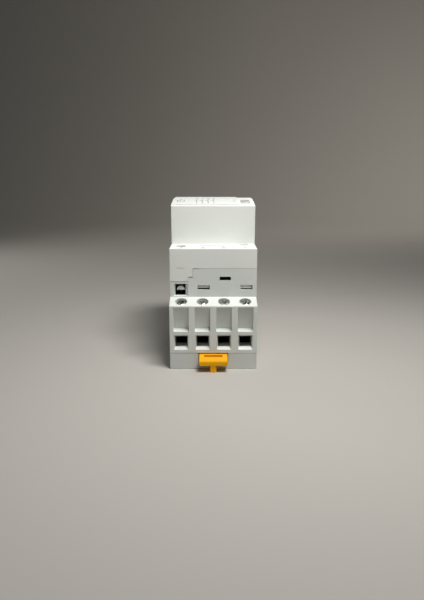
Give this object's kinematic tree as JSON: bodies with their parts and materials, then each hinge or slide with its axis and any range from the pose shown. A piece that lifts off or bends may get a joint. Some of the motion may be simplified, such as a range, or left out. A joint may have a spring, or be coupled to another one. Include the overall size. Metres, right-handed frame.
{
  "type": "din rail contactor",
  "caption": "Modular DIN rail contactor with sloping terminal screws, coil terminals in the shoulders, a crowned nose with a state window and a sprung clip for the rail.",
  "frame": {"origin": "centre of the plane that seats on the rail's front face", "axes": "+X across the width with the window on the +X side, +Y from the line terminals to the load terminals, +Z out of the rail towards the nose"},
  "size_m": [0.036, 0.0895, 0.0682],
  "materials": {
    "housing_plastic": "fine eroded texture, cool white",
    "base_plastic": "fine eroded texture, slightly greyer white",
    "cover_plastic": "fine eroded texture, cool white",
    "front_plastic": "satin white",
    "clear_lens": "clear polycarbonate",
    "clip_plastic": "satin orange yellow",
    "zinc_screw": "zinc plated, bright",
    "zinc_clamp": "zinc plated, dull",
    "dark_steel": "dark phosphated",
    "copper": "bare copper",
    "brass_strip": "brass strip",
    "silver": "silver contact material",
    "core_steel": "stacked laminations",
    "winding": "enamelled wire under tape",
    "bobbin_plastic": "black glass-filled plastic",
    "carrier_plastic": "black thermoset",
    "flag_plastic": "red",
    "spring_steel": "spring wire",
    "rubber": "soft rubber"
  },
  "bodies": {
    "housing": {"base_plate": "base_plastic", "main_housing": "housing_plastic", "top_cover": "cover_plastic", "front_plate": "front_plastic", "indicator_window": "clear_lens", "pole_screws": "zinc_screw", "coil_screws": "dark_steel", "fixed_contact_tips": "silver", "fixed_core": "core_steel", "core_rivets": "zinc_clamp", "shading_rings": "copper", "core_buffer": "rubber", "coil_bobbin": "bobbin_plastic", "coil_winding": "winding", "line_coil_lead": "brass_strip", "load_coil_lead": "brass_strip", "line_coil_saddle": "zinc_clamp", "load_coil_saddle": "zinc_clamp", "return_spring_left": "spring_steel", "return_spring_right": "spring_steel", "line_clamp_1": "zinc_clamp", "load_clamp_1": "zinc_clamp", "line_contact_1": "copper", "load_contact_1": "copper", "line_clamp_2": "zinc_clamp", "load_clamp_2": "zinc_clamp", "line_contact_2": "copper", "load_contact_2": "copper", "line_clamp_3": "zinc_clamp", "load_clamp_3": "zinc_clamp", "line_contact_3": "copper", "load_contact_3": "copper", "line_clamp_4": "zinc_clamp", "load_clamp_4": "zinc_clamp", "line_contact_4": "copper", "load_contact_4": "copper"},
    "carrier": {"contact_carrier": "carrier_plastic", "armature": "core_steel", "armature_pad": "rubber", "armature_pin": "zinc_clamp", "indicator_flag": "flag_plastic", "moving_contact_tips": "silver", "moving_bridge_1": "copper", "moving_bridge_2": "copper", "moving_bridge_3": "copper", "moving_bridge_4": "copper", "contact_spring_1": "spring_steel", "contact_spring_2": "spring_steel", "contact_spring_3": "spring_steel", "contact_spring_4": "spring_steel"},
    "clip": {"din_clip": "clip_plastic"}
  },
  "joints": [
    {"name": "armature_stroke", "type": "slide", "parent": "housing", "child": "carrier", "axis": [0, 0, 1], "range_m": [0, 0.0025], "stiffness_N_per_m": 600, "springref_m": -0.004, "deforming": ["return_spring_left", "return_spring_right"]},
    {"name": "clip_slide", "type": "slide", "parent": "housing", "child": "clip", "axis": [0, -1, 0], "range_m": [0, 0.0035], "stiffness_N_per_m": 1000, "springref_m": -0.003}
  ]
}
